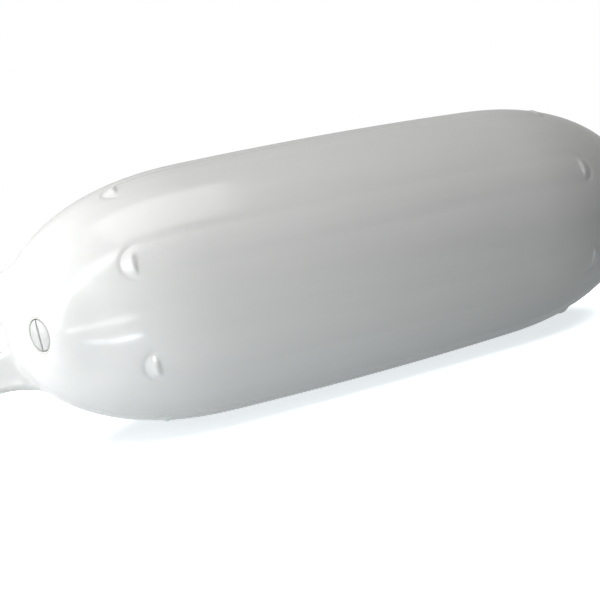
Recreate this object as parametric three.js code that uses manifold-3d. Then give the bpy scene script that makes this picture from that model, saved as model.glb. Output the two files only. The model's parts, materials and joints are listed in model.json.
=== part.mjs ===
// Inflatable boat fender: a ribbed vinyl cylinder with domed ends and a flat rope eye on each end.
// Millimetres, +Z up. It lies on its side with its length along X and the valve end at -X.
// The origin is on the surface that it rests on, midway along it.
import * as THREE from 'three';
import { ParametricGeometry } from 'three/addons/geometries/ParametricGeometry.js';
import { mergeVertices } from 'three/addons/utils/BufferGeometryUtils.js';
import Module from 'manifold-3d';

const wasm = await Module();
wasm.setup();

// Body
const bodyRadius = 84; // of the skin between the ribs, midway along
const bodyCrown = 1.7; // radius lost between the middle and the start of a dome
const straightHalf = 103; // from the middle to the start of a dome
const domeLength = 123;
const domeFullness = 2.22; // exponent of the dome's curve: 2 is an ellipse, more is fuller
const skinWall = 3.5;
const endWall = 8; // the vinyl is thicker where the eyes are moulded on
const restFlatDepth = 1; // the soft skin settles by this much where it lies

// Ribs
const ribCount = 8;
const ribWidth = 19.5;
const ribHeight = 1;
const ribRunOut = 48; // how far a rib runs onto each dome
const ribTipWidth = 8; // width left at the very tip
const lipHeight = 1.5; // of the slightly raised lip at each end of a rib
const lipRamp = 5; // length from a rib's very end up to its lip's crest
const lipFall = 3; // length from the crest back down to the rib

// Rope eyes
const eyeHoleRadius = 12.75;
const eyeHoleToDome = 1.25; // between the hole and the dome's pole
const eyeRingWidth = 22.25; // from the hole's edge to the rim
const eyeThickness = 24;
const eyeEdgeRound = 5;
const eyeRootFlare = 3; // each side is wider by this where it leaves the dome
const eyeRootDepth = 12; // how far the eye's root reaches back inside the dome

// Inflation valve
const valveFromPole = 23; // back from the dome's pole, along the length
const valveAngle = THREE.MathUtils.degToRad(36); // between the valve's axis and the fender's
const insertProud = 0.3; // of the insert's rim over the skin at the valve's middle
const insertCupDepth = 4.3; // the cup that holds the seal and the plug's head
const insertCupFloor = 1.4;
const insertRim = 1; // width of the rim around the cup
const barrelRadius = 6.2;
const barrelLength = 9;
const plugShankRadius = 3.7;
const plugShankLength = 8;
const plugHeadRadius = 9;
const plugHeadThickness = 2.2;
const plugHeadGap = 0.6; // between the head's rim and the cup's wall
const plugEdgeRound = 0.6;
const slotWidth = 1.6;
const slotDepth = 1.2;
const sealThickness = 1.8;
const bossWall = 2; // vinyl around the insert
const bossEdgeRound = 1;
const bossLength = 12; // from the skin inwards
const fitGap = 0.3; // between pieces that seat in or on each other

// Fineness of the surfaces
const valleySteps = 2; // facets from a rib's foot to the middle of the next valley
const straightSteps = 4; // between the middle and the start of a dome
const domeSteps = 9; // between the start of a dome and its pole, ribs apart
const cavitySegments = 32;
const cavityDomeSteps = 6;
const valveSegments = 40;
const eyeCurveSegments = 8;

// Worked out from the sizes above
const axisHeight = bodyRadius - restFlatDepth;
const poleReach = straightHalf + domeLength;
const ribReach = straightHalf + ribRunOut;
const ribPitch = ( 2 * Math.PI ) / ribCount;
const eyeRadius = eyeHoleRadius + eyeRingWidth;
const eyeReach = poleReach + eyeHoleToDome + eyeHoleRadius;
const sealRingRadius = plugHeadRadius - sealThickness / 2;
const cupRadius = plugHeadRadius + plugHeadGap;
const insertRadius = cupRadius + insertRim;
const insertFloor = insertProud - insertCupDepth;
const insertShoulder = insertFloor - insertCupFloor;
const sealCentre = insertFloor + fitGap + sealThickness / 2;
const plugSeat = sealCentre + sealThickness / 2 + fitGap;
const bossRadius = insertRadius + fitGap + bossWall;

// Radius of a crowned barrel with superelliptic ends, at the distance x from its middle.
function barrelRadiusAt( x, radius, endLength ) {

	const reach = Math.abs( x );
	if ( reach <= straightHalf ) return radius - bodyCrown * ( reach / straightHalf ) ** 2;
	const past = reach - straightHalf;
	const shoulder = radius - bodyCrown - ( ( 2 * bodyCrown ) / straightHalf ) * past;
	const share = Math.min( past / endLength, 1 );
	return shoulder * ( 1 - share ** domeFullness ) ** ( 1 / domeFullness );

}

const skinRadiusAt = ( x ) => barrelRadiusAt( x, bodyRadius, domeLength );

// How far a rib's tip has risen at x: 0 at its very end, 1 from the lip's crest inwards.
function ribTipRise( x ) {

	const left = THREE.MathUtils.clamp( 1 - ( ribReach - Math.abs( x ) ) / lipRamp, 0, 1 );
	return Math.sqrt( 1 - left ** 2 );

}

// Height of the middle of a rib at x: low along its length, with a raised lip at each end.
function ribHeightAt( x ) {

	const pastCrest = ribReach - Math.abs( x ) - lipRamp;
	const fallen = THREE.MathUtils.smoothstep( pastCrest, 0, lipFall );
	return THREE.MathUtils.lerp( lipHeight, ribHeight, fallen ) * ribTipRise( x );

}

// Half the angle that a rib spans at x, seen along the fender.
function ribHalfAngle( x ) {

	const width = THREE.MathUtils.lerp( ribTipWidth, ribWidth, ribTipRise( x ) );
	return Math.min( width / 2 / bodyRadius, ribPitch / 3 );

}

// One pitch of the section, from the middle of a valley over a rib to the next valley's middle.
// Each entry is the place within the pitch and the share of the rib's height there.
function pitchPoints( x ) {

	const half = ribHalfAngle( x );
	const foot = ribPitch / 2 - half;
	const valley = Array.from( { length: valleySteps }, ( _, i ) => [ ( foot * i ) / valleySteps, 0 ] );
	const rise = [ [ foot, 0 ], [ foot + half * 0.3, 0.75 ], [ ribPitch / 2, 1 ] ];
	const fall = rise.slice( 0, 2 ).reverse().map( ( [ angle, share ] ) => [ ribPitch - angle, share ] );
	const nextValley = valley.slice( 1 ).reverse().map( ( [ angle, share ] ) => [ ribPitch - angle, share ] );
	return [ ...valley, ...rise, ...fall, ...nextValley ];

}

// Places along X where the skin has a row of points, closer together around the ribs' tips.
function skinStations() {

	const straight = Array.from( { length: straightSteps }, ( _, i ) => ( straightHalf * i ) / straightSteps );
	const dome = Array.from( { length: domeSteps + 1 }, ( _, i ) => {

		return straightHalf + domeLength * Math.sin( ( Math.PI / 2 ) * ( i / domeSteps ) );

	} );
	const ramp = [ 0, 0.08, 0.3, 0.6, 1 ].map( ( share ) => ribReach - lipRamp * share );
	const fall = [ 0.3, 0.65, 1 ].map( ( share ) => ribReach - lipRamp - lipFall * share );
	const lipStart = Math.min( ...fall );
	const clear = dome.filter( ( x ) => x < lipStart - lipRamp || x > ribReach + lipRamp );
	const half = [ ...straight, ...clear, ...ramp, ...fall ].sort( ( a, b ) => a - b );
	return [ ...half.slice( 1 ).reverse().map( ( x ) => - x ), ...half ];

}

// The outer skin with its ribs, as one closed surface around the X axis.
function skinGeometry() {

	const stations = skinStations();
	const perPitch = pitchPoints( 0 ).length;
	const around = perPitch * ribCount;
	const along = stations.length - 1;
	return new ParametricGeometry( ( u, v, target ) => {

		const step = Math.round( u * around ) % around;
		const x = stations[ Math.round( v * along ) ];
		const [ withinPitch, share ] = pitchPoints( x )[ step % perPitch ];
		const angle = Math.floor( step / perPitch ) * ribPitch + withinPitch;
		const radius = skinRadiusAt( x ) + share * ribHeightAt( x );
		target.set( x, - radius * Math.cos( angle ), - radius * Math.sin( angle ) );

	}, around, along );

}

// The air space: the skin's own curve, set in by the wall.
function cavityGeometry() {

	const endLength = domeLength - endWall;
	const half = Array.from( { length: cavityDomeSteps + 1 }, ( _, i ) => {

		const x = straightHalf + endLength * Math.sin( ( Math.PI / 2 ) * ( i / cavityDomeSteps ) );
		return new THREE.Vector2( barrelRadiusAt( x, bodyRadius - skinWall, endLength ), x );

	} );
	half[ half.length - 1 ].x = 0;
	const middle = new THREE.Vector2( bodyRadius - skinWall, 0 );
	const mirrored = half.map( ( p ) => new THREE.Vector2( p.x, - p.y ) ).reverse();
	return new THREE.LatheGeometry( [ ...mirrored, middle, ...half ], cavitySegments ).rotateZ( - Math.PI / 2 );

}

// A flat rope eye at +X: a round end with a hole, on a neck that flares into the dome.
function eyeGeometry() {

	const flareStart = poleReach - eyeRootDepth;
	const halfWidth = eyeRadius - eyeEdgeRound;
	const outline = new THREE.Shape();
	outline.moveTo( flareStart - eyeRootDepth, - halfWidth - eyeRootFlare );
	outline.lineTo( flareStart, - halfWidth - eyeRootFlare );
	outline.quadraticCurveTo( poleReach - eyeRootDepth / 3, - halfWidth, eyeReach, - halfWidth );
	outline.absarc( eyeReach, 0, halfWidth, - Math.PI / 2, Math.PI / 2 );
	outline.quadraticCurveTo( poleReach - eyeRootDepth / 3, halfWidth, flareStart, halfWidth + eyeRootFlare );
	outline.lineTo( flareStart - eyeRootDepth, halfWidth + eyeRootFlare );
	outline.closePath();
	const hole = new THREE.Path();
	hole.absarc( eyeReach, 0, eyeHoleRadius + eyeEdgeRound, 0, Math.PI * 2, true );
	outline.holes.push( hole );
	const depth = eyeThickness - 2 * eyeEdgeRound;
	return new THREE.ExtrudeGeometry( outline, {
		depth,
		bevelEnabled: true,
		bevelThickness: eyeEdgeRound,
		bevelSize: eyeEdgeRound,
		bevelSegments: 3,
		curveSegments: eyeCurveSegments,
	} ).translate( 0, 0, - depth / 2 ).rotateX( Math.PI / 2 );

}

// A solid of revolution around its own Y axis, from corners given as [ radius, height ].
function turned( corners ) {

	return new THREE.LatheGeometry( corners.map( ( [ r, y ] ) => new THREE.Vector2( r, y ) ), valveSegments );

}

// A closed mesh as a solid that can be joined and cut.
function toSolid( geometry ) {

	const bare = geometry.clone();
	bare.deleteAttribute( 'normal' );
	bare.deleteAttribute( 'uv' );
	const merged = mergeVertices( bare );
	const index = merged.index.array;
	const triangles = [];
	for ( let i = 0; i < index.length; i += 3 ) {

		const [ a, b, c ] = index.slice( i, i + 3 );
		if ( a !== b && b !== c && c !== a ) triangles.push( a, b, c );

	}

	return new wasm.Manifold( new wasm.Mesh( {
		numProp: 3,
		vertProperties: new Float32Array( merged.attributes.position.array ),
		triVerts: new Uint32Array( triangles ),
	} ) );

}

// A solid back as a geometry with its normals.
function toGeometry( solid ) {

	const mesh = solid.getMesh();
	const geometry = new THREE.BufferGeometry();
	geometry.setAttribute( 'position', new THREE.BufferAttribute( mesh.vertProperties, 3 ) );
	geometry.setIndex( new THREE.BufferAttribute( mesh.triVerts, 1 ) );
	geometry.computeVertexNormals();
	return geometry;

}

// The valve's place on the fender: its own +Y points out along the valve's axis.
function valvePlace() {

	const x = poleReach - valveFromPole;
	const outward = new THREE.Vector3( - Math.cos( valveAngle ), - Math.sin( valveAngle ), 0 );
	const sideways = new THREE.Vector3( 0, 0, 1 );
	const across = new THREE.Vector3().crossVectors( outward, sideways );
	return new THREE.Matrix4()
		.makeBasis( across, outward, sideways )
		.setPosition( - x, - skinRadiusAt( x ), 0 );

}

// The moulded shell, around its own axis.
function bodyGeometry() {

	const place = valvePlace();
	const boss = turned( [
		[ 0, - bossLength ], [ bossRadius, - bossLength ], [ bossRadius, insertProud - bossEdgeRound ],
		[ bossRadius - bossEdgeRound * 0.3, insertProud - bossEdgeRound * 0.3 ],
		[ bossRadius - bossEdgeRound, insertProud ], [ 0, insertProud ],
	] ).applyMatrix4( place );
	const pocketRadius = insertRadius + fitGap;
	const pocketFloor = insertShoulder - fitGap;
	const portRadius = barrelRadius + fitGap;
	const port = turned( [
		[ 0, - bossLength - skinWall * 3 ], [ portRadius, - bossLength - skinWall * 3 ], [ portRadius, pocketFloor ],
		[ pocketRadius, pocketFloor ], [ pocketRadius, insertRadius ], [ 0, insertRadius ],
	] ).applyMatrix4( place );
	const eye = eyeGeometry();
	const otherEye = eye.clone().rotateZ( Math.PI );
	const flatCut = new THREE.BoxGeometry( poleReach * 2, bodyRadius * 2, bodyRadius )
		.translate( 0, 0, - bodyRadius * 1.5 + restFlatDepth );
	const shell = toSolid( skinGeometry() )
		.add( toSolid( eye ) )
		.add( toSolid( otherEye ) )
		.subtract( toSolid( cavityGeometry() ) )
		.add( toSolid( boss ) )
		.subtract( toSolid( port ) )
		.subtract( toSolid( flatCut ) );
	return toGeometry( shell );

}

function insertGeometry() {

	const bore = plugShankRadius + fitGap;
	const barrelEnd = insertShoulder - barrelLength;
	return turned( [
		[ bore, barrelEnd ], [ barrelRadius, barrelEnd ], [ barrelRadius, insertShoulder ],
		[ insertRadius, insertShoulder ], [ insertRadius, insertProud ], [ cupRadius, insertProud ],
		[ cupRadius, insertFloor ], [ bore, insertFloor ], [ bore, barrelEnd ],
	] );

}

function sealGeometry() {

	return new THREE.TorusGeometry( sealRingRadius, sealThickness / 2, 10, valveSegments )
		.rotateX( Math.PI / 2 )
		.translate( 0, sealCentre, 0 );

}

function plugGeometry() {

	const top = plugSeat + plugHeadThickness;
	const tip = plugSeat - plugShankLength;
	const head = turned( [
		[ 0, tip ], [ plugShankRadius - plugEdgeRound, tip ], [ plugShankRadius, tip + plugEdgeRound ],
		[ plugShankRadius, plugSeat ], [ plugHeadRadius, plugSeat ], [ plugHeadRadius, top - plugEdgeRound ],
		[ plugHeadRadius - plugEdgeRound * 0.3, top - plugEdgeRound * 0.3 ],
		[ plugHeadRadius - plugEdgeRound, top ], [ 0, top ],
	] );
	const slot = new THREE.BoxGeometry( slotWidth, slotDepth * 2, plugHeadRadius * 3 ).translate( 0, top, 0 );
	return toGeometry( toSolid( head ).subtract( toSolid( slot ) ) );

}

const vinyl = new THREE.MeshStandardMaterial( { color: 0xe9e9e6, roughness: 0.32, metalness: 0 } );
const hardPlastic = new THREE.MeshStandardMaterial( { color: 0xdcdcd6, roughness: 0.4, metalness: 0 } );
const plugPlastic = new THREE.MeshStandardMaterial( { color: 0xcececc, roughness: 0.35, metalness: 0 } );
const sealRubber = new THREE.MeshStandardMaterial( { color: 0x33342c, roughness: 0.7, metalness: 0 } );

function named( name, geometry, material ) {

	const mesh = new THREE.Mesh( geometry, material );
	mesh.name = name;
	return mesh;

}

const valve = new THREE.Group();
valve.add(
	named( 'valve_insert', insertGeometry(), hardPlastic ),
	named( 'valve_seal', sealGeometry(), sealRubber ),
	named( 'valve_plug', plugGeometry(), plugPlastic ),
);
valve.applyMatrix4( valvePlace() );

const fender = new THREE.Group();
fender.add( named( 'fender_body', bodyGeometry(), vinyl ), valve );
fender.position.z = axisHeight;

export default fender;
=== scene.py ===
import json
import logging
import math
from dataclasses import dataclass, field
from enum import Enum

import bmesh
import bpy
import numpy as np
from mathutils import Matrix, Vector


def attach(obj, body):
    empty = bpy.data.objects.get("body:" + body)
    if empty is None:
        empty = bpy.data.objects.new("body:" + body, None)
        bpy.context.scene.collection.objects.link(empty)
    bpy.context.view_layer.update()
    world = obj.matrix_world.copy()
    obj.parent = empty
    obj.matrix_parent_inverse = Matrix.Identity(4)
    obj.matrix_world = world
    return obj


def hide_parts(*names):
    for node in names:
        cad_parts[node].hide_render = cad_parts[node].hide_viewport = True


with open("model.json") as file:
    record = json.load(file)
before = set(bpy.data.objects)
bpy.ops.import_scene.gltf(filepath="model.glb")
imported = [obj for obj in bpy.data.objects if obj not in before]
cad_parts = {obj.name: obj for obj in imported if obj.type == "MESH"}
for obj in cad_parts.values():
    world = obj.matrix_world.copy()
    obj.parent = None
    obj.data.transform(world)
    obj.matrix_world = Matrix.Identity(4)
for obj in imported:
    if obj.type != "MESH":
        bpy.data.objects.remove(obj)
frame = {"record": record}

log = logging.getLogger("fender")

BODY = "root"
MILLIMETRE = 0.001
Points = np.ndarray


class Slot(Enum):
    """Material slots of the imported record."""

    VINYL = "white_vinyl"
    INSERT = "insert_plastic"
    PLUG = "plug_plastic"
    SEAL = "seal_rubber"

    def colour(self) -> tuple[float, float, float]:
        """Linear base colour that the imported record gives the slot."""
        row = next(m for m in frame["record"]["materials"] if m["slot"] == self.value)
        return tuple(row["base_color"][:3])


class Signal:
    """One shader socket that takes part in Python arithmetic."""

    def __init__(self, graph: "Graph", socket: bpy.types.NodeSocket) -> None:
        """Wraps a socket of a graph."""
        self.graph = graph
        self.socket = socket

    def _math(self, operation: str, first: "Signal | float", second: "Signal | float") -> "Signal":
        """Adds one Math node on these two values."""
        return self.graph.node("ShaderNodeMath", {"operation": operation}, {0: first, 1: second})

    def __add__(self, other: "Signal | float") -> "Signal":
        """self + other"""
        return self._math("ADD", self, other)

    def __radd__(self, other: float) -> "Signal":
        """other + self"""
        return self._math("ADD", other, self)

    def __sub__(self, other: "Signal | float") -> "Signal":
        """self - other"""
        return self._math("SUBTRACT", self, other)

    def __rsub__(self, other: float) -> "Signal":
        """other - self"""
        return self._math("SUBTRACT", other, self)

    def __mul__(self, other: "Signal | float") -> "Signal":
        """self * other"""
        return self._math("MULTIPLY", self, other)

    def __rmul__(self, other: float) -> "Signal":
        """other * self"""
        return self._math("MULTIPLY", other, self)

    def __abs__(self) -> "Signal":
        """The value without its sign."""
        return self._math("ABSOLUTE", self, 0.0)

    def ramp(self, low: float, high: float) -> "Signal":
        """A smooth rise from 0 to 1 as the value goes from low to high.

        Args:
            low: Value that gives 0.
            high: Value that gives 1; below low for a fall.

        Returns:
            The smoothed share.
        """
        settings = {"interpolation_type": "SMOOTHSTEP"}
        inputs = {"Value": self, "From Min": low, "From Max": high, "To Min": 0.0, "To Max": 1.0}
        return self.graph.node("ShaderNodeMapRange", settings, inputs)


class Graph:
    """A node tree that is written as expressions."""

    def __init__(self, tree: bpy.types.NodeTree) -> None:
        """Starts from an empty tree."""
        self.tree = tree
        tree.nodes.clear()

    def node(
        self,
        kind: str,
        settings: dict[str, object] | None = None,
        inputs: dict[str | int, object] | None = None,
        output: str | int = 0,
    ) -> Signal:
        """Adds a node.

        Args:
            kind: Blender's type name of the node.
            settings: Properties of the node, set before its sockets.
            inputs: Values or signals for its input sockets, by name or number.
            output: The output socket to hand back.

        Returns:
            That output as a signal.
        """
        made = self.tree.nodes.new(kind)
        for key, value in (settings or {}).items():
            setattr(made, key, value)
        for key, value in (inputs or {}).items():
            socket = made.inputs[key]
            if isinstance(value, Signal):
                self.tree.links.new(value.socket, socket)
            else:
                socket.default_value = value
        return Signal(self, made.outputs[output]) if len(made.outputs) else None

    def coordinates(self) -> Signal:
        """The piece's own coordinates, in metres."""
        return self.node("ShaderNodeTexCoord", output="Object")

    def axis(self, name: str) -> Signal:
        """One of the piece's own coordinates.

        Args:
            name: X, Y or Z.

        Returns:
            That coordinate, in metres.
        """
        return self.node("ShaderNodeSeparateXYZ", None, {0: self.coordinates()}, name)

    def noise(
        self, scale: float, detail: float, stretch: tuple[float, float, float] = (1, 1, 1),
    ) -> Signal:
        """Soft noise around 0.5.

        Args:
            scale: Lumps per metre.
            detail: Octaves of finer noise.
            stretch: Factor on the coordinates along each axis.

        Returns:
            The noise value.
        """
        place = self.node("ShaderNodeMapping", None, {"Vector": self.coordinates(), "Scale": stretch})
        inputs = {"Vector": place, "Scale": scale, "Detail": detail}
        return self.node("ShaderNodeTexNoise", None, inputs, "Fac")

    def mix(self, share: Signal, low: object, high: object) -> Signal:
        """A colour between two.

        Args:
            share: 0 for low, 1 for high.
            low: Colour or signal.
            high: Colour or signal.

        Returns:
            The mixed colour.
        """
        return self.node("ShaderNodeMix", {"data_type": "RGBA"}, {0: share, 6: low, 7: high}, 2)

    def bump(self, height: Signal, depth: float) -> Signal:
        """A normal that is tilted by a height.

        Args:
            height: Height, where 1 is depth.
            depth: Metres that a height of 1 stands for.

        Returns:
            The tilted normal.
        """
        return self.node("ShaderNodeBump", None, {"Height": height, "Distance": depth, "Strength": 1.0})

    def output(self, kind: str, shader: Signal) -> None:
        """Links a shader to the tree's output.

        Args:
            kind: Blender's type name of the output node.
            shader: The finished shader.
        """
        self.node(kind, None, {"Surface": shader})


def rgba(colour: tuple[float, float, float], gain: float = 1.0) -> tuple[float, float, float, float]:
    """An opaque colour.

    Args:
        colour: Linear red, green and blue.
        gain: Factor on all three.

    Returns:
        The colour with an alpha of 1.
    """
    return (colour[0] * gain, colour[1] * gain, colour[2] * gain, 1.0)


@dataclass(frozen=True)
class Finish:
    """A moulded plastic or rubber surface; the subclasses say how it varies."""

    name: str
    slot: Slot
    roughness: float
    ior: float = 1.5
    subsurface: float = 0.0
    subsurface_depth: float = 0.003
    subsurface_reach: tuple[float, float, float] = (1.0, 0.95, 0.85)

    def varied(self, graph: Graph) -> tuple[Signal, Signal, Signal]:
        """What changes over the surface.

        Args:
            graph: The material's graph.

        Returns:
            Base colour, roughness and normal.
        """
        raise NotImplementedError

    def build(self) -> bpy.types.Material:
        """The finished material."""
        material = bpy.data.materials.new(self.name)
        material.use_nodes = True
        graph = Graph(material.node_tree)
        colour, roughness, normal = self.varied(graph)
        inputs = {
            "Base Color": colour,
            "Roughness": roughness,
            "Normal": normal,
            "IOR": self.ior,
            "Subsurface Weight": self.subsurface,
            "Subsurface Scale": self.subsurface_depth,
            "Subsurface Radius": self.subsurface_reach,
        }
        graph.output("ShaderNodeOutputMaterial", graph.node("ShaderNodeBsdfPrincipled", None, inputs))
        return material


@dataclass(frozen=True)
class Vinyl(Finish):
    """Semi-gloss white vinyl with slack waves, fine mould texture, a parting line and faint scuffs.

    Scales are lumps per metre, and depths, heights and widths are in metres.
    """

    along_body: tuple[float, float, float] = (0.45, 1, 1)
    streaky: tuple[float, float, float] = (0.15, 1, 1)
    wave_scale: float = 26.0
    wave_depth: float = 0.00022
    dimple_scale: float = 95.0
    dimple_depth: float = 0.0000264
    grain_scale: float = 1300.0
    grain_depth: float = 0.000012
    streak_scale: float = 60.0
    scuff_scale: float = 38.0
    scratch_scale: float = 420.0
    clean_shade: float = 1.01
    streak_shade: float = 0.985
    scuff_shade: float = 0.8
    scuff_share: float = 0.12
    parting_height: float = 0.00025
    parting_width: float = 0.0009
    parting_core: float = 0.00027

    def varied(self, graph: Graph) -> tuple[Signal, Signal, Signal]:
        """Base colour, roughness and normal of the vinyl.

        Args:
            graph: The material's graph.

        Returns:
            Base colour, roughness and normal.
        """
        waves = graph.noise(self.wave_scale, 1.0, self.along_body)
        dimples = graph.noise(self.dimple_scale, 1.0)
        grain = graph.noise(self.grain_scale, 2.0)
        streaks = graph.noise(self.streak_scale, 3.0, self.streaky)
        patches = graph.noise(self.scuff_scale, 5.0).ramp(0.62, 0.78)
        scuffs = patches * graph.noise(self.scratch_scale, 2.0).ramp(0.45, 0.6)
        parting = abs(graph.axis("Y")).ramp(self.parting_width, self.parting_core)
        slack = waves * self.wave_depth + dimples * self.dimple_depth
        height = slack + grain * self.grain_depth + parting * self.parting_height
        white = self.slot.colour()
        streaked, plain = rgba(white, self.streak_shade), rgba(white, self.clean_shade)
        clean = graph.mix(streaks.ramp(0.3, 0.75), streaked, plain)
        colour = graph.mix(scuffs * self.scuff_share, clean, rgba(white, self.scuff_shade))
        roughness = self.roughness + (dimples - 0.5) * 0.10 + scuffs * 0.06 + (streaks - 0.5) * 0.05
        return colour, roughness, graph.bump(height * (1 / MILLIMETRE), MILLIMETRE)


@dataclass(frozen=True)
class HardPlastic(Finish):
    """Hard injection-moulded plastic with a faint grain and cloudy shade."""

    cloud_scale: float = 340.0
    cloud_shade: float = 0.9
    grain_scale: float = 4200.0
    grain_depth: float = 0.00001

    def varied(self, graph: Graph) -> tuple[Signal, Signal, Signal]:
        """Base colour, roughness and normal of the hard plastic.

        Args:
            graph: The material's graph.

        Returns:
            Base colour, roughness and normal.
        """
        cloud = graph.noise(self.cloud_scale, 3.0)
        grain = graph.noise(self.grain_scale, 1.0)
        plain = self.slot.colour()
        colour = graph.mix(cloud.ramp(0.35, 0.75), rgba(plain), rgba(plain, self.cloud_shade))
        roughness = self.roughness + (cloud - 0.5) * 0.12
        return colour, roughness, graph.bump(grain, self.grain_depth)


@dataclass(frozen=True)
class Rubber(Finish):
    """Dark matt rubber with a dusty bloom."""

    bloom_scale: float = 900.0
    bloom_shade: float = 1.9
    bloom_depth: float = 0.00002

    def varied(self, graph: Graph) -> tuple[Signal, Signal, Signal]:
        """Base colour, roughness and normal of the rubber.

        Args:
            graph: The material's graph.

        Returns:
            Base colour, roughness and normal.
        """
        bloom = graph.noise(self.bloom_scale, 3.0)
        dark = self.slot.colour()
        colour = graph.mix(bloom.ramp(0.45, 0.8), rgba(dark), rgba(dark, self.bloom_shade))
        roughness = self.roughness + (bloom - 0.5) * 0.1
        return colour, roughness, graph.bump(bloom, self.bloom_depth)


VINYL = Vinyl("white_vinyl", Slot.VINYL, roughness=0.17, subsurface=0.1)
INSERT_PLASTIC = HardPlastic("insert_plastic", Slot.INSERT, roughness=0.42)
PLUG_PLASTIC = HardPlastic(
    "plug_plastic", Slot.PLUG, roughness=0.36, subsurface=0.05, subsurface_depth=0.001,
)
SEAL_RUBBER = Rubber("seal_rubber", Slot.SEAL, roughness=0.62)


def piece_of(bm: bmesh.types.BMesh, name: str) -> bpy.types.Object:
    """Makes a scene object of a bmesh.

    Args:
        bm: The shape, freed afterwards.
        name: The object's name.

    Returns:
        The object, at the origin.
    """
    mesh = bpy.data.meshes.new(name)
    bm.to_mesh(mesh)
    bm.free()
    piece = bpy.data.objects.new(name, mesh)
    bpy.context.scene.collection.objects.link(piece)
    return piece


def baked(piece: bpy.types.Object) -> None:
    """Makes a piece's modifiers part of its mesh.

    Args:
        piece: The piece to change.
    """
    evaluated = piece.evaluated_get(bpy.context.evaluated_depsgraph_get())
    mesh = bpy.data.meshes.new_from_object(evaluated)
    old = piece.data
    piece.modifiers.clear()
    piece.data = mesh
    mesh.name = piece.name
    bpy.data.meshes.remove(old)


def carve(piece: bpy.types.Object, cutter: bpy.types.Object) -> None:
    """Cuts one piece by another, which is then removed.

    Args:
        piece: The piece to change.
        cutter: The shape to take away.
    """
    cut = piece.modifiers.new("cut", "BOOLEAN")
    cut.operation = "DIFFERENCE"
    cut.solver = "EXACT"
    cut.object = cutter
    baked(piece)
    bpy.data.objects.remove(cutter)


def smooth_shaded(piece: bpy.types.Object, crease_deg: float) -> None:
    """Shades a piece smooth, apart from its creases.

    Args:
        piece: The piece to shade.
        crease_deg: Edges that bend by more than this stay sharp.
    """
    piece.data.shade_smooth()
    piece.data.set_sharp_from_angle(angle=math.radians(crease_deg))


def placed(piece: bpy.types.Object, finish: Finish, node: str) -> None:
    """Gives a piece its finish and puts it in the place of a CAD node.

    Args:
        piece: The finished piece.
        finish: Its finish.
        node: The node that it stands for.
    """
    piece.data.materials.clear()
    piece.data.materials.append(finish.build())
    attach(piece, BODY)
    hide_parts(node)
    faces = piece.data.polygons
    triangles = sum(len(face.vertices) - 2 for face in faces)
    log.info("%s: %d faces, %d triangles", piece.name, len(faces), triangles)


def turned(corners: list[tuple[float, float]], steps: int, closed: bool) -> bmesh.types.BMesh:
    """Spins a section around its Z axis.

    Args:
        corners: Radius and height of each corner of the section.
        steps: Facets around.
        closed: True for a ring, whose section returns to its first corner.

    Returns:
        The closed shape.
    """
    bm = bmesh.new()
    last = bm.verts.new((corners[0][0], 0, corners[0][1]))
    first = last
    for radius, height in corners[1:]:
        made = bmesh.ops.extrude_vert_indiv(bm, verts=[last])
        last = made["verts"][0]
        last.co = (radius, 0, height)
    if closed:
        bm.edges.new((last, first))
    bmesh.ops.spin(
        bm, geom=bm.verts[:] + bm.edges[:], cent=(0, 0, 0), axis=(0, 0, 1),
        angle=math.tau, steps=steps, use_merge=True,
    )
    bmesh.ops.remove_doubles(bm, verts=bm.verts[:], dist=1e-6)
    bmesh.ops.recalc_face_normals(bm, faces=bm.faces[:])
    return bm


def blend_min(first: Points, second: Points, reach: float) -> Points:
    """The smaller of two fields, with a fillet where they cross.

    Args:
        first: One field.
        second: The other field.
        reach: How far the fillet reaches.

    Returns:
        The joined field.
    """
    share = np.clip(0.5 + 0.5 * (second - first) / reach, 0.0, 1.0)
    return second * (1 - share) + first * share - reach * share * (1 - share)


def smoothstep(value: Points) -> Points:
    """A smooth rise from 0 to 1 as the value goes from 0 to 1."""
    share = np.clip(value, 0.0, 1.0)
    return share * share * (3 - 2 * share)


def box_distance(across: Points, along: Points, rounding: float) -> Points:
    """Distance to the rounded corner of two straight sides.

    Args:
        across: Distance past the first side, negative inside.
        along: Distance past the second side, negative inside.
        rounding: Radius of the corner.

    Returns:
        The distance, negative inside.
    """
    a = across + rounding
    b = along + rounding
    outside = np.hypot(np.maximum(a, 0), np.maximum(b, 0))
    return outside + np.minimum(np.maximum(a, b), 0) - rounding


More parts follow.
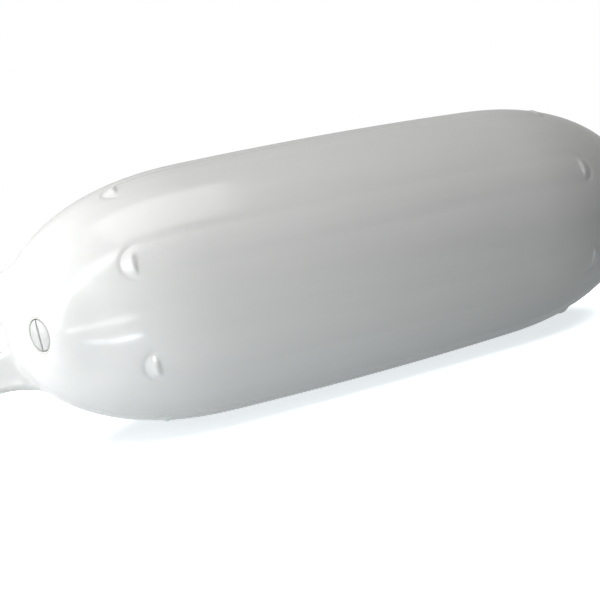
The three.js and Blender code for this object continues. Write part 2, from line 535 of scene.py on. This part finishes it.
@dataclass(frozen=True)
class ShellSizes:
    """Sizes of the moulded shell, in metres."""

    radius: float = 0.084
    crown: float = 0.0017
    straight_half: float = 0.103
    dome_length: float = 0.123
    dome_fullness: float = 2.22
    wall: float = 0.0035
    end_wall: float = 0.008
    rest_flat: float = 0.001
    rib_count: int = 8
    rib_width: float = 0.0195
    rib_height: float = 0.0004
    rib_run_out: float = 0.048
    rib_corner: float = 0.0092
    rib_side: float = 0.0065
    lip_side: float = 0.0055
    lip_height: float = 0.0014
    lip_ramp: float = 0.005
    lip_fall: float = 0.003
    foot_groove: float = 0.0002
    tip_groove: float = 0.0004
    foot_groove_width: float = 0.0015
    tip_groove_width: float = 0.0013
    eye_hole_radius: float = 0.01275
    eye_hole_to_dome: float = 0.00125
    eye_ring_width: float = 0.02225
    eye_thickness: float = 0.024
    eye_edge_round: float = 0.005
    eye_root_flare: float = 0.003
    eye_flare_length: float = 0.02
    eye_fillet: float = 0.006
    hole_round: float = 0.006

    @property
    def axis_height(self) -> float:
        """Height of the fender's axis over the surface it lies on."""
        return self.radius - self.rest_flat

    @property
    def pole_reach(self) -> float:
        """From the middle to a dome's pole."""
        return self.straight_half + self.dome_length

    @property
    def rib_reach(self) -> float:
        """From the middle to a rib's end."""
        return self.straight_half + self.rib_run_out

    @property
    def eye_radius(self) -> float:
        """Radius of an eye's round end."""
        return self.eye_hole_radius + self.eye_ring_width

    @property
    def eye_reach(self) -> float:
        """From the middle to the centre of an eye's hole."""
        return self.pole_reach + self.eye_hole_to_dome + self.eye_hole_radius

    def shoulder(self, reach: Points, radius: float) -> Points:
        """Radius of the crowned barrel before the dome's curve is applied.

        Args:
            reach: Distance from the middle.
            radius: Radius in the middle.

        Returns:
            The radius.
        """
        share = np.minimum(reach / self.straight_half, 1.0)
        past = np.maximum(reach - self.straight_half, 0.0)
        return radius - self.crown * share**2 - 2 * self.crown / self.straight_half * past

    def skin_radius(self, reach: float, radius: float, dome_length: float) -> float:
        """Radius of the barrel at a distance from its middle.

        Args:
            reach: Distance from the middle.
            radius: Radius in the middle.
            dome_length: From the start of the dome to its pole.

        Returns:
            The radius there.
        """
        share = min(max(reach - self.straight_half, 0.0) / dome_length, 1.0)
        curve = (1 - share**self.dome_fullness) ** (1 / self.dome_fullness)
        return float(self.shoulder(np.array(reach), radius)) * curve


@dataclass(frozen=True)
class ValveSizes:
    """Sizes of the inflation valve, in metres along and around its own axis."""

    from_pole: float = 0.023
    angle: float = math.radians(36)
    insert_proud: float = 0.0003
    cup_depth: float = 0.0043
    cup_floor: float = 0.0014
    insert_rim: float = 0.001
    barrel_radius: float = 0.0062
    barrel_length: float = 0.009
    shank_radius: float = 0.0037
    shank_length: float = 0.008
    head_radius: float = 0.009
    head_thickness: float = 0.0022
    head_gap: float = 0.0006
    slot_width: float = 0.0016
    slot_depth: float = 0.0012
    seal_thickness: float = 0.0018
    boss_wall: float = 0.002
    boss_length: float = 0.012
    seat_margin: float = 0.001
    seat_round: float = 0.0015
    seat_easing: float = 0.026
    fit_gap: float = 0.0003

    @property
    def seal_radius(self) -> float:
        """Radius of the seal's middle line, under the rim of the plug's head."""
        return self.head_radius - self.seal_thickness / 2

    @property
    def cup_radius(self) -> float:
        """Inner radius of the insert's cup."""
        return self.head_radius + self.head_gap

    @property
    def insert_radius(self) -> float:
        """Outer radius of the insert."""
        return self.cup_radius + self.insert_rim

    @property
    def floor(self) -> float:
        """Height of the cup's floor."""
        return self.insert_proud - self.cup_depth

    @property
    def shoulder(self) -> float:
        """Height of the underside of the insert's cup."""
        return self.floor - self.cup_floor

    @property
    def seal_centre(self) -> float:
        """Height of the seal's middle."""
        return self.floor + self.fit_gap + self.seal_thickness / 2

    @property
    def plug_seat(self) -> float:
        """Height of the underside of the plug's head."""
        return self.seal_centre + self.seal_thickness / 2 + self.fit_gap

    @property
    def boss_radius(self) -> float:
        """Outer radius of the vinyl around the insert."""
        return self.insert_radius + self.fit_gap + self.boss_wall

    @property
    def seat_radius(self) -> float:
        """Radius of the flat of vinyl that the insert sits in."""
        return self.insert_radius + self.fit_gap + self.seat_margin

    def place(self, shell: ShellSizes) -> Matrix:
        """The valve's place on the shell: its own +Z points out along its axis.

        Args:
            shell: Sizes of the shell that carries it.

        Returns:
            The transform from the valve's own frame.
        """
        reach = shell.pole_reach - self.from_pole
        out = Vector((-math.cos(self.angle), -math.sin(self.angle), 0))
        up = Vector((0, 0, 1))
        across = up.cross(out)
        turn = Matrix((across, up, out)).transposed().to_4x4()
        depth = shell.skin_radius(reach, shell.radius, shell.dome_length)
        return Matrix.Translation((-reach, -depth, shell.axis_height)) @ turn


class ShellField:
    """The shell's outer surface as a field: negative inside, zero on it, in metres."""

    def __init__(self, shell: ShellSizes, valve: ValveSizes) -> None:
        """Takes the sizes of the shell and of the valve that it carries."""
        self.shell = shell
        self.valve = valve
        self.from_valve = np.array(valve.place(shell))
        self.to_valve = np.linalg.inv(self.from_valve)

    def rib_rise(self, along: Points, angle: Points) -> Points:
        """How far the ribs lift the skin.

        Args:
            along: Distance from the middle of the fender.
            angle: Angle around the axis.

        Returns:
            The lift, a little negative in the groove around a rib's foot.
        """
        s = self.shell
        pitch = math.tau / s.rib_count
        across = (np.mod(angle, pitch) - pitch / 2) * s.radius
        inward = s.rib_reach - along
        edge = box_distance(np.abs(across) - s.rib_width / 2, -inward, s.rib_corner)
        fallen = smoothstep((inward - s.lip_ramp) / s.lip_fall)
        height = s.lip_height + (s.rib_height - s.lip_height) * fallen
        side = s.lip_side + (s.rib_side - s.lip_side) * fallen
        width = s.tip_groove_width + (s.foot_groove_width - s.tip_groove_width) * fallen
        depth = s.tip_groove + (s.foot_groove - s.tip_groove) * fallen
        groove = np.exp(-(((edge - width) / width) ** 2))
        return height * smoothstep(-edge / side) - depth * groove

    def skin(self, at: Points) -> Points:
        """Distance to the ribbed, dome-ended barrel.

        Args:
            at: Points around the fender's axis.

        Returns:
            The distance.
        """
        s = self.shell
        along = np.abs(at[:, 0])
        angle = np.arctan2(at[:, 2], -at[:, 1])
        radius = np.hypot(at[:, 1], at[:, 2]) - self.rib_rise(along, angle)
        shoulder = s.shoulder(along, s.radius)
        power = s.dome_fullness
        around = np.maximum(radius / shoulder, 1e-4)
        share = np.maximum(along - s.straight_half, 0.0) / s.dome_length
        steepness = power - 1
        slope = np.hypot(around**steepness / shoulder, share**steepness / s.dome_length)
        return (around**power + share**power - 1) / (power * slope)

    def eye_plate(self, at: Points) -> Points:
        """Distance to the flat plates that the eyes are cut in, without their holes.

        Args:
            at: Points around the fender's axis.

        Returns:
            The distance.
        """
        s = self.shell
        inward = s.eye_reach - np.abs(at[:, 0])
        aside = np.abs(at[:, 2])
        flare = s.eye_root_flare * smoothstep((inward - s.eye_hole_radius / 2) / s.eye_flare_length)
        outline = np.where(inward > 0, aside - flare, np.hypot(inward, aside)) - s.eye_radius
        return box_distance(outline, np.abs(at[:, 1]) - s.eye_thickness / 2, s.eye_edge_round)

    def bare(self, at: Points) -> Points:
        """The body and its eyes, without the eyes' holes and the valve's seat.

        Args:
            at: Points in the row's frame.

        Returns:
            The distance.
        """
        own = at - np.array([0, 0, self.shell.axis_height])
        return blend_min(self.skin(own), self.eye_plate(own), self.shell.eye_fillet)

    def valve_seat(self, at: Points) -> Points:
        """The bare body with a flat seat for the valve, eased into the skin all around.

        Args:
            at: Points in the row's frame.

        Returns:
            The distance.
        """
        v = self.valve
        solid = self.bare(at)
        own = at @ self.to_valve[:3, :3].T + self.to_valve[:3, 3]
        reach = np.hypot(own[:, 0], own[:, 1])
        near = (reach < v.seat_radius + v.seat_easing) & (own[:, 2] > -self.shell.radius / 2)
        own, reach = own[near], np.maximum(reach[near], 1e-6)
        rim = own * (v.seat_radius / reach)[:, None]
        rim[:, 2] = v.insert_proud
        height = self.bare(rim @ self.from_valve[:3, :3].T + self.from_valve[:3, 3])
        eased = solid[near] - height * (1 - smoothstep((reach - v.seat_radius) / v.seat_easing))
        past_rim = smoothstep((reach - v.seat_radius + v.seat_round) / (2 * v.seat_round))
        solid[near] = (own[:, 2] - v.insert_proud) * (1 - past_rim) + eased * past_rim
        return solid

    def value(self, at: Points) -> Points:
        """The whole field.

        Args:
            at: Points in the row's frame.

        Returns:
            The distance to the shell's outer surface.
        """
        s = self.shell
        hole = np.hypot(np.abs(at[:, 0]) - s.eye_reach, at[:, 2] - s.axis_height) - s.eye_hole_radius
        solid = -blend_min(-self.valve_seat(at), hole, s.hole_round)
        return np.maximum(solid, -at[:, 2])

    def settle(self, at: Points, rounds: int = 4) -> Points:
        """Moves points onto the surface.

        Args:
            at: Points near the surface.
            rounds: Steps to take.

        Returns:
            The moved points.
        """
        step = 5e-6
        longest = 0.0015
        flattest = 0.05
        for _ in range(rounds):
            rises = [self.value(at + side) - self.value(at - side) for side in np.eye(3) * step]
            slope = np.stack(rises, 1) / (2 * step)
            move = -slope * (self.value(at) / np.maximum((slope**2).sum(1), flattest))[:, None]
            length = np.linalg.norm(move, axis=1, keepdims=True)
            at = at + move * np.minimum(1.0, longest / np.maximum(length, 1e-12))
        return at


@dataclass
class FenderShell:
    """The moulded vinyl body: skin, ribs, rope eyes and valve boss in one piece."""

    sizes: ShellSizes = field(default_factory=ShellSizes)
    valve: ValveSizes = field(default_factory=ValveSizes)
    voxel: float = 0.0028
    smooth_rounds: int = 3
    smooth_share: float = 0.5
    refine_deg: tuple[float, ...] = (6.5, 12.0)
    profile_steps: int = 60
    around: int = 128
    air_steps: int = 20
    air_around: int = 64
    boss_around: int = 48
    port_around: int = 96
    crease_deg: float = 50.0

    def barrel(self, radius: float, dome_length: float, steps: int, around: int) -> bmesh.types.BMesh:
        """A plain dome-ended barrel along X.

        Args:
            radius: Radius in the middle.
            dome_length: From the start of a dome to its pole.
            steps: Points from the middle to a pole.
            around: Facets around.

        Returns:
            The closed barrel, around the fender's axis.
        """
        s = self.sizes
        reach = s.straight_half + dome_length
        half = [reach * math.sin(math.pi / 2 * i / steps) for i in range(steps + 1)]
        lengths = [-x for x in reversed(half[1:])] + half
        corners = [(s.skin_radius(abs(x), radius, dome_length), x) for x in lengths]
        corners[0] = (0.0, lengths[0])
        corners[-1] = (0.0, lengths[-1])
        bm = turned(corners, around, closed=False)
        turn = Matrix.Translation((0, 0, s.axis_height)) @ Matrix.Rotation(math.pi / 2, 4, "Y")
        bmesh.ops.transform(bm, matrix=turn, verts=bm.verts[:])
        return bm

    def rough_eye(self, bm: bmesh.types.BMesh, side: int) -> None:
        """Adds a rough rope eye: a ring with cheeks that reach into the dome.

        Args:
            bm: The shape to add to.
            side: -1 for the valve end, 1 for the other.
        """
        s = self.sizes
        centre = Vector((side * s.eye_reach, 0, s.axis_height))
        wall = s.eye_ring_width
        ring = [(s.eye_hole_radius, -1), (s.eye_radius, -1), (s.eye_radius, 1), (s.eye_hole_radius, 1)]
        section = [(radius, end * s.eye_thickness / 2) for radius, end in ring]
        eye = turned(section, self.around // 2, closed=True)
        turn = Matrix.Translation(centre) @ Matrix.Rotation(math.pi / 2, 4, "X")
        bmesh.ops.transform(eye, matrix=turn, verts=eye.verts[:])
        joined = bpy.data.meshes.new("eye")
        eye.to_mesh(joined)
        eye.free()
        bm.from_mesh(joined)
        bpy.data.meshes.remove(joined)
        reach_in = s.eye_reach - s.pole_reach + s.end_wall * 2
        for edge in (-1, 1):
            size = Vector((reach_in, s.eye_thickness, wall, 1))
            middle = centre + Vector((-side * reach_in / 2, 0, edge * (s.eye_radius - wall / 2)))
            place = Matrix.Translation(middle) @ Matrix.Diagonal(size)
            bmesh.ops.create_cube(bm, size=1.0, matrix=place)

    def rough(self) -> bpy.types.Object:
        """The rough closed form, as one even net of small faces."""
        s = self.sizes
        bm = self.barrel(s.radius, s.dome_length, self.profile_steps, self.around)
        for side in (-1, 1):
            self.rough_eye(bm, side)
        v = self.valve
        middle = Matrix.Translation((0, 0, (v.insert_proud - v.boss_length) / 2))
        bmesh.ops.create_cone(
            bm, cap_ends=True, segments=self.boss_around, radius1=v.boss_radius, radius2=v.boss_radius,
            depth=v.insert_proud + v.boss_length, matrix=v.place(s) @ middle,
        )
        piece = piece_of(bm, "fender_shell")
        net = piece.modifiers.new("net", "REMESH")
        net.mode = "VOXEL"
        net.voxel_size = self.voxel
        baked(piece)
        return piece

    def refined(self, piece: bpy.types.Object) -> None:
        """Settles the net on the true surface and makes it finer where the surface bends.

        Args:
            piece: The rough net.
        """
        surface = ShellField(self.sizes, self.valve)
        bm = bmesh.new()
        bm.from_mesh(piece.data)

        def settle() -> None:
            """Puts every vertex on the true surface."""
            at = np.array([v.co[:] for v in bm.verts], dtype=float)
            for vert, place in zip(bm.verts, surface.settle(at)):
                vert.co = place

        for _ in range(self.smooth_rounds):
            settle()
            bmesh.ops.smooth_vert(
                bm, verts=bm.verts[:], factor=self.smooth_share,
                use_axis_x=True, use_axis_y=True, use_axis_z=True,
            )
        settle()
        for limit in self.refine_deg:
            bends = [e for e in bm.edges if e.calc_face_angle(0.0) > math.radians(limit)]
            faces = {f for e in bends for v in e.verts for f in v.link_faces}
            edges = list({e for f in faces for e in f.edges})
            bmesh.ops.subdivide_edges(bm, edges=edges, cuts=1, use_grid_fill=True)
            settle()
            log.info("refined at %.0f degrees: %d faces", limit, len(bm.faces))
        bmesh.ops.recalc_face_normals(bm, faces=bm.faces[:])
        bm.to_mesh(piece.data)
        bm.free()

    def valve_port(self) -> bpy.types.Object:
        """The stepped bore that the valve's insert fills."""
        v = self.valve
        pocket = v.insert_radius + v.fit_gap / 2
        port = v.barrel_radius + v.fit_gap
        floor = v.shoulder - v.fit_gap
        corners = [
            (0.0, -v.boss_length - self.sizes.wall * 3),
            (port, -v.boss_length - self.sizes.wall * 3),
            (port, floor),
            (pocket, floor),
            (pocket, v.insert_radius),
            (0.0, v.insert_radius),
        ]
        bm = turned(corners, self.port_around, closed=False)
        bmesh.ops.transform(bm, matrix=v.place(self.sizes), verts=bm.verts[:])
        return piece_of(bm, "port")

    def hollowed(self, piece: bpy.types.Object) -> None:
        """Adds the air space inside, so that the vinyl has its true wall.

        Args:
            piece: The shell to change.
        """
        s = self.sizes
        radius, length = s.radius - s.wall, s.dome_length - s.end_wall
        air = self.barrel(radius, length, self.air_steps, self.air_around)
        bmesh.ops.reverse_faces(air, faces=air.faces[:])
        inner = bpy.data.meshes.new("air")
        air.to_mesh(inner)
        air.free()
        bm = bmesh.new()
        bm.from_mesh(piece.data)
        bm.from_mesh(inner)
        bm.to_mesh(piece.data)
        bm.free()
        bpy.data.meshes.remove(inner)

    def build(self) -> bpy.types.Object:
        """The finished body."""
        piece = self.rough()
        self.refined(piece)
        self.hollowed(piece)
        carve(piece, self.valve_port())
        smooth_shaded(piece, self.crease_deg)
        placed(piece, VINYL, "fender_body")
        return piece


@dataclass
class Valve:
    """The inflation valve: insert, seal and screw plug."""

    sizes: ValveSizes = field(default_factory=ValveSizes)
    shell: ShellSizes = field(default_factory=ShellSizes)
    around: int = 96
    seal_facets: int = 20
    edge_round: float = 0.00022
    edge_segments: int = 3
    rim_deg: float = 60.0
    slot_rim_deg: float = 30.0
    crease_deg: float = 35.0
    tip_chamfer: float = 0.0006
    crown_drop: float = 0.0005
    crown_share: float = 0.9

    def finished(self, bm: bmesh.types.BMesh, name: str, rim_deg: float) -> bpy.types.Object:
        """Puts a valve piece in its place with its rims rounded.

        Args:
            bm: The piece around the valve's own axis.
            name: The object's name.
            rim_deg: Edges that bend by more than this are rounded.

        Returns:
            The object.
        """
        limit = math.radians(rim_deg)
        rims = [e for e in bm.edges if e.calc_face_angle(0.0) > limit]
        bmesh.ops.bevel(
            bm, geom=rims, offset=self.edge_round, offset_type="OFFSET",
            segments=self.edge_segments, affect="EDGES", profile=0.5, material=-1, clamp_overlap=True,
        )
        bmesh.ops.transform(bm, matrix=self.sizes.place(self.shell), verts=bm.verts[:])
        bmesh.ops.recalc_face_normals(bm, faces=bm.faces[:])
        piece = piece_of(bm, name)
        smooth_shaded(piece, self.crease_deg)
        return piece

    def insert(self) -> bpy.types.Object:
        """The sleeve in the shell's port, with a cup for the plug's head."""
        v = self.sizes
        cup = v.cup_radius
        bore = v.shank_radius + v.fit_gap
        end = v.shoulder - v.barrel_length
        section = [
            (bore, end), (v.barrel_radius, end), (v.barrel_radius, v.shoulder),
            (v.insert_radius, v.shoulder), (v.insert_radius, v.insert_proud),
            (cup, v.insert_proud), (cup, v.floor), (bore, v.floor),
        ]
        piece = self.finished(turned(section, self.around, closed=True), "valve_sleeve", self.rim_deg)
        placed(piece, INSERT_PLASTIC, "valve_insert")
        return piece

    def seal(self) -> bpy.types.Object:
        """The O-ring under the rim of the plug's head."""
        v = self.sizes
        middle = v.seal_radius
        half = v.seal_thickness / 2
        turns = [math.tau * i / self.seal_facets for i in range(self.seal_facets)]
        section = [(middle + half * math.cos(a), v.seal_centre + half * math.sin(a)) for a in turns]
        piece = self.finished(turned(section, self.around, closed=True), "seal_ring", self.rim_deg)
        placed(piece, SEAL_RUBBER, "valve_seal")
        return piece

    def plug(self) -> bpy.types.Object:
        """The screw plug: a head with a coin slot on a shank."""
        v = self.sizes
        top = v.plug_seat + v.head_thickness
        tip = v.plug_seat - v.shank_length
        crown = v.head_radius * self.crown_share
        section = [
            (0.0, tip), (v.shank_radius - self.tip_chamfer, tip),
            (v.shank_radius, tip + self.tip_chamfer),
            (v.shank_radius, v.plug_seat), (v.head_radius, v.plug_seat),
            (v.head_radius, top - self.crown_drop), (crown, top), (0.0, top),
        ]
        piece = piece_of(turned(section, self.around, closed=False), "plug_blank")
        bar = bmesh.new()
        size = Vector((v.slot_width, v.head_radius * 3, v.slot_depth * 2, 1))
        place = Matrix.Translation((0, 0, top)) @ Matrix.Diagonal(size)
        bmesh.ops.create_cube(bar, size=1.0, matrix=place)
        carve(piece, piece_of(bar, "slot"))
        bm = bmesh.new()
        bm.from_mesh(piece.data)
        bpy.data.objects.remove(piece)
        piece = self.finished(bm, "screw_plug", self.slot_rim_deg)
        placed(piece, PLUG_PLASTIC, "valve_plug")
        return piece

    def build(self) -> None:
        """Makes the three pieces."""
        self.insert()
        self.seal()
        self.plug()


@dataclass(frozen=True)
class CameraPlace:
    """Where the photo was taken from, in metres and degrees."""

    along: float = -0.1600
    distance: float = 0.4557
    elevation_deg: float = 6.2
    yaw_deg: float = 14.8
    pitch_deg: float = -2.76
    roll_deg: float = -12.85
    focal_px: float = 686.0
    image_px: float = 600.0
    sensor_mm: float = 36.0
    nearest: float = 0.01

    def build(self, axis_height: float) -> None:
        """Adds the camera.

        Args:
            axis_height: Height of the fender's axis.
        """
        yaw = math.radians(self.yaw_deg)
        pitch = math.radians(self.pitch_deg)
        level = math.cos(pitch)
        ahead = Vector((math.sin(yaw) * level, math.cos(yaw) * level, math.sin(pitch)))
        right = Vector((math.cos(yaw), -math.sin(yaw), 0))
        up = right.cross(ahead)
        roll = math.radians(self.roll_deg)
        cos, sin = math.cos(roll), math.sin(roll)
        right, up = right * cos + up * sin, up * cos - right * sin
        lift = Matrix.Rotation(-math.radians(self.elevation_deg), 4, "X")
        turn = Matrix((right, up, -ahead)).transposed().to_4x4()
        start = Matrix.Translation((self.along, -self.distance, 0))
        camera = bpy.data.cameras.new("photo_view")
        camera.sensor_width = self.sensor_mm
        camera.lens = self.sensor_mm * self.focal_px / self.image_px
        camera.clip_start = self.nearest
        holder = bpy.data.objects.new("photo_view", camera)
        holder.matrix_world = Matrix.Translation((0, 0, axis_height)) @ lift @ start @ turn
        bpy.context.scene.collection.objects.link(holder)
        bpy.context.scene.camera = holder


class Lit(Enum):
    """What a studio light falls on: how its list of floors is taken, and the list."""

    ALL_BUT_SEEN_FLOOR = ("EXCLUDE", ("floor",))
    NO_FLOOR = ("EXCLUDE", ("floor", "floor_bounce"))
    SEEN_FLOOR_ONLY = ("INCLUDE", ("floor",))


@dataclass(frozen=True)
class SoftBox:
    """A rectangular studio light of even brightness."""

    name: str
    place: tuple[float, float, float]
    target: tuple[float, float, float]
    size: tuple[float, float]
    brightness: float
    colour: tuple[float, float, float] = (1.0, 1.0, 1.0)
    lit: Lit = Lit.ALL_BUT_SEEN_FLOOR
    turn_deg: float = 0.0

    def build(self) -> None:
        """Adds the light, once the floors are there."""
        light = bpy.data.lights.new(self.name, "AREA")
        light.shape = "RECTANGLE"
        light.size, light.size_y = self.size
        light.energy = self.brightness * math.pi * self.size[0] * self.size[1]
        light.color = self.colour
        holder = bpy.data.objects.new(self.name, light)
        aim = (Vector(self.target) - Vector(self.place)).to_track_quat("-Z", "Y").to_matrix().to_4x4()
        turn = Matrix.Rotation(math.radians(self.turn_deg), 4, "Z")
        holder.matrix_world = Matrix.Translation(self.place) @ aim @ turn
        holder.visible_camera = False
        bpy.context.scene.collection.objects.link(holder)
        state, floors = self.lit.value
        group = bpy.data.collections.new(self.name + "_floors")
        for name in floors:
            group.objects.link(bpy.data.objects[name])
        for entry in group.collection_objects:
            entry.light_linking.link_state = state
        holder.light_linking.receiver_collection = group


WHITE = (1.0, 1.0, 1.0)
DAYLIGHT = (0.975, 0.99, 1.0)
LAMPLIGHT = (1.0, 0.99, 0.965)
COOL = (0.93, 0.97, 1.0)

WINDOW = SoftBox(
    "window", place=(-0.634, -0.065, 0.255), target=(0, -0.065, 0.255), size=(0.731, 0.349),
    brightness=4.45, colour=DAYLIGHT, lit=Lit.NO_FLOOR,
)
OVERHEAD = SoftBox(
    "overhead", place=(-0.3, -0.2, 1.3), target=(-0.3, -0.2, 0), size=(0.8, 0.8),
    brightness=2.65, colour=LAMPLIGHT,
)
HIGH_STRIP = SoftBox(
    "high_strip", place=(-0.752, -0.509, 0.708), target=(-0.16, -0.06, 0.11), size=(0.604, 0.15),
    brightness=5.5, colour=DAYLIGHT, turn_deg=54,
)
LOW_SLIT = SoftBox(
    "low_slit", place=(-0.528, -0.541, 0.033), target=(-0.16, -0.07, 0.085), size=(0.277, 0.024),
    brightness=12.0,
)
FLOOR_SLIT = SoftBox(
    "floor_slit", place=(-0.246, -0.198, 0.012), target=(-0.16, -0.07, 0.085), size=(0.056, 0.008),
    brightness=20.0, colour=COOL,
)
FLOOR_WASH = SoftBox(
    "floor_wash", place=(0, 0, 2.0), target=(0, 0, 0), size=(3.0, 3.0),
    brightness=8.0, lit=Lit.SEEN_FLOOR_ONLY,
)


@dataclass
class Studio:
    """Pale floor, soft lights and a white surround.

    The floor is three discs: one that the camera sees, one that lights the object and one that
    the object mirrors. All are the stage, and none casts or hides light.
    """

    floor_radius: float = 2.4
    floor_clear: float = 0.9
    floor_fade: float = 0.92
    floor_facets: int = 96
    floor_roughness: float = 0.85
    floor_specular: float = 0.1
    floor_tone: float = 0.88
    floor_colour: tuple[float, float, float] = (0.94, 0.98, 1.0)
    floor_glow: float = 0.7
    floor_step: float = 0.0005
    bounce_tone: float = 0.88
    bounce_glow: float = 0.04
    sheen_tone: float = 0.8
    sheen_glow: float = 0.6
    # dim_share, dim_from and dim_to paint the fall-off of the window's light onto the bounce and sheen
    # discs
    dim_share: float = 0.45
    dim_from: float = -0.15
    dim_to: float = 0.45
    surround: float = 0.11
    mirrored_surround: float = 0.5
    lights: tuple[SoftBox, ...] = (WINDOW, OVERHEAD, HIGH_STRIP, LOW_SLIT, FLOOR_SLIT, FLOOR_WASH)

    def disc(
        self, name: str, height: float, shade: float, glow: float, dim: float = 1.0,
    ) -> bpy.types.Object:
        """A wide disc of pale material that fades out towards its rim.

        Args:
            name: The object's name.
            height: Its height.
            shade: How pale it is.
            glow: How brightly it shines of itself; on the bounce and sheen discs this is painted bounce
                light and painted reflection.
            dim: The share of both that is left on the side away from the window: a painted fall-off of
                the window's light.

        Returns:
            The disc, marked as stage.
        """
        bm = bmesh.new()
        bmesh.ops.create_circle(
            bm, cap_ends=True, segments=self.floor_facets, radius=self.floor_radius,
            matrix=Matrix.Translation((0, 0, height)),
        )
        piece = piece_of(bm, name)
        material = bpy.data.materials.new(name)
        material.use_nodes = True
        graph = Graph(material.node_tree)
        place = graph.coordinates()
        far = graph.node("ShaderNodeVectorMath", {"operation": "LENGTH"}, {0: place}, "Value")
        # painted shade: tone and glow fall off along X, away from the window, standing in for the
        # fall-off of its light
        window_falloff = graph.axis("X").ramp(self.dim_from, self.dim_to)
        tone = graph.mix(window_falloff, rgba(self.floor_colour, shade), rgba(self.floor_colour, shade * dim))
        shine = graph.mix(window_falloff, rgba(self.floor_colour), rgba(self.floor_colour, dim))
        inputs = {
            "Base Color": tone,
            "Roughness": self.floor_roughness,
            "Specular IOR Level": self.floor_specular,
            "Emission Color": shine,
            "Emission Strength": glow,
            "Alpha": far.ramp(self.floor_radius * self.floor_fade, self.floor_clear),
        }
        graph.output("ShaderNodeOutputMaterial", graph.node("ShaderNodeBsdfPrincipled", None, inputs))
        piece.data.materials.append(material)
        return piece

    def floors(self) -> None:
        """Adds the floor that the camera sees, then those that light the object and show in it."""
        dim, step = self.dim_share, self.floor_step
        seen = self.disc("floor", 0.0, self.floor_tone, self.floor_glow)
        bounce = self.disc("floor_bounce", -step, self.bounce_tone, self.bounce_glow, dim)
        sheen = self.disc("floor_sheen", -2 * step, self.sheen_tone, self.sheen_glow, dim)
        for disc in (seen, bounce, sheen):
            disc.visible_camera = disc is seen
            disc.visible_diffuse = disc is bounce
            disc.visible_glossy = disc is sheen
            disc.visible_transmission = False
            disc.visible_shadow = False

    def world(self) -> None:
        """Sets a white backdrop that lights the object only softly and shows in its sheen."""
        world = bpy.data.worlds.new("surround")
        world.use_nodes = True
        bpy.context.scene.world = world
        graph = Graph(world.node_tree)
        seen = graph.node("ShaderNodeLightPath", output="Is Camera Ray")
        mirrored = graph.node("ShaderNodeLightPath", output="Is Glossy Ray")
        white = rgba(WHITE)
        strength = mirrored * (self.mirrored_surround - self.surround) + self.surround
        lit = graph.node("ShaderNodeBackground", None, {"Color": white, "Strength": strength})
        shown = graph.node("ShaderNodeBackground", None, {"Color": white, "Strength": 1.0})
        backdrop = graph.node("ShaderNodeMixShader", None, {0: seen, 1: lit, 2: shown})
        graph.output("ShaderNodeOutputWorld", backdrop)

    def build(self) -> None:
        """Adds everything around the object."""
        bpy.context.scene.view_settings.view_transform = "Standard"
        self.floors()
        self.world()
        for light in self.lights:
            light.build()


def main() -> None:
    """Builds the camera, the fender and the studio, and reports each piece."""
    logging.basicConfig(level=logging.INFO, format="%(name)s: %(message)s")
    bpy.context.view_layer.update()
    shell = FenderShell()
    CameraPlace().build(shell.sizes.axis_height)
    shell.build()
    Valve().build()
    Studio().build()


if __name__ == "__main__":
    main()
